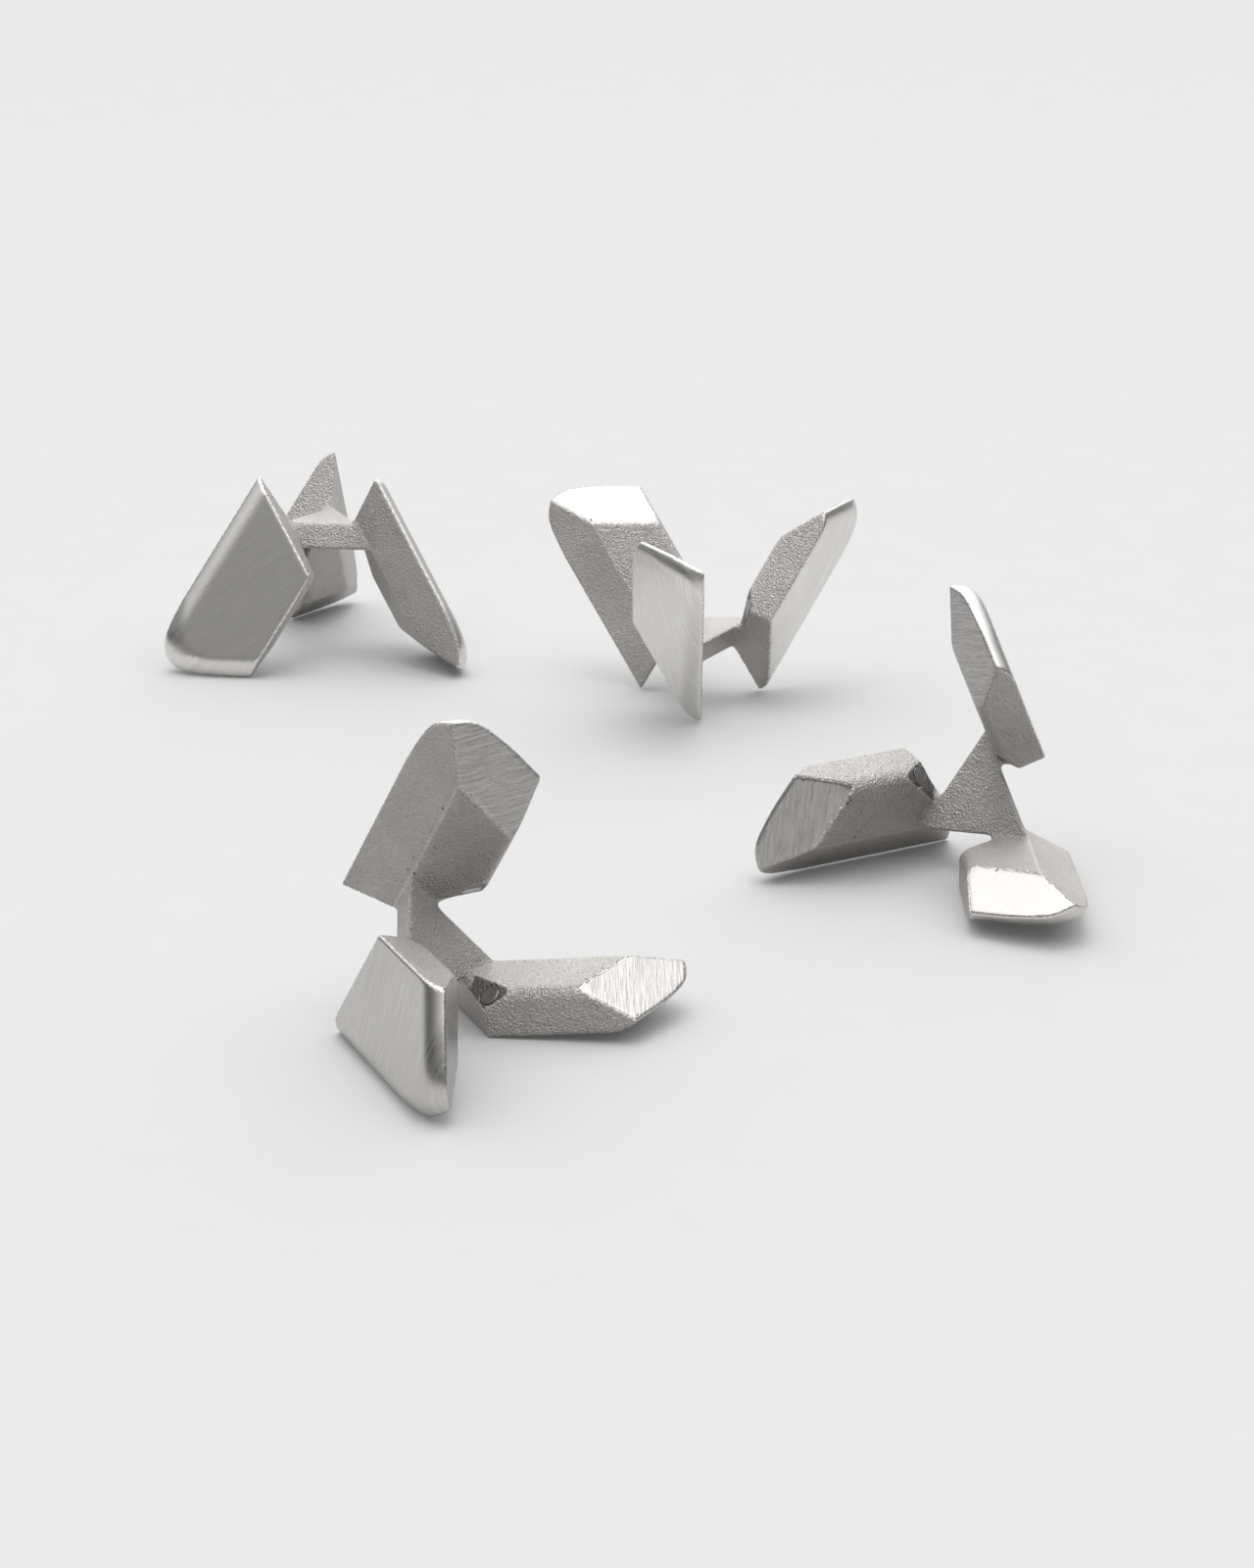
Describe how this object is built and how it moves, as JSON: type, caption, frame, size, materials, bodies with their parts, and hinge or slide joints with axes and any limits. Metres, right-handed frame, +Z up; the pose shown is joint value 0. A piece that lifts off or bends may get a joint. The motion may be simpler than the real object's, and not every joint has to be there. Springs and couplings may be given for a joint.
{
  "type": "magnetic desk sculpture",
  "caption": "Take-apart desk sculpture: identical three-bladed castings with disc magnets that close into one rounded tetrahedron, shown apart on the desk.",
  "frame": {"origin": "centre of the box round the four pieces, on the desk they rest on", "axes": "+Z up from the desk, +Y from the front piece towards the back pieces, +X to the right"},
  "size_m": [0.1472, 0.2358, 0.0454],
  "materials": {
    "steel": "satin",
    "magnet": "polished"
  },
  "bodies": {
    "root": {"casting_standing": "steel", "magnet_standing_1": "magnet", "magnet_standing_2": "magnet", "magnet_standing_3": "magnet"},
    "inverted": {"casting_inverted": "steel", "magnet_inverted_1": "magnet", "magnet_inverted_2": "magnet", "magnet_inverted_3": "magnet"},
    "right": {"casting_right": "steel", "magnet_right_1": "magnet", "magnet_right_2": "magnet", "magnet_right_3": "magnet"},
    "front": {"casting_front": "steel", "magnet_front_1": "magnet", "magnet_front_2": "magnet", "magnet_front_3": "magnet"}
  },
  "joints": [
    {"name": "lift_inverted", "type": "slide", "parent": "root", "child": "inverted", "axis": [0, 0, 1], "range_m": [0, 0.06]},
    {"name": "lift_right", "type": "slide", "parent": "root", "child": "right", "axis": [0, 0, 1], "range_m": [0, 0.06]},
    {"name": "lift_front", "type": "slide", "parent": "root", "child": "front", "axis": [0, 0, 1], "range_m": [0, 0.06]}
  ]
}
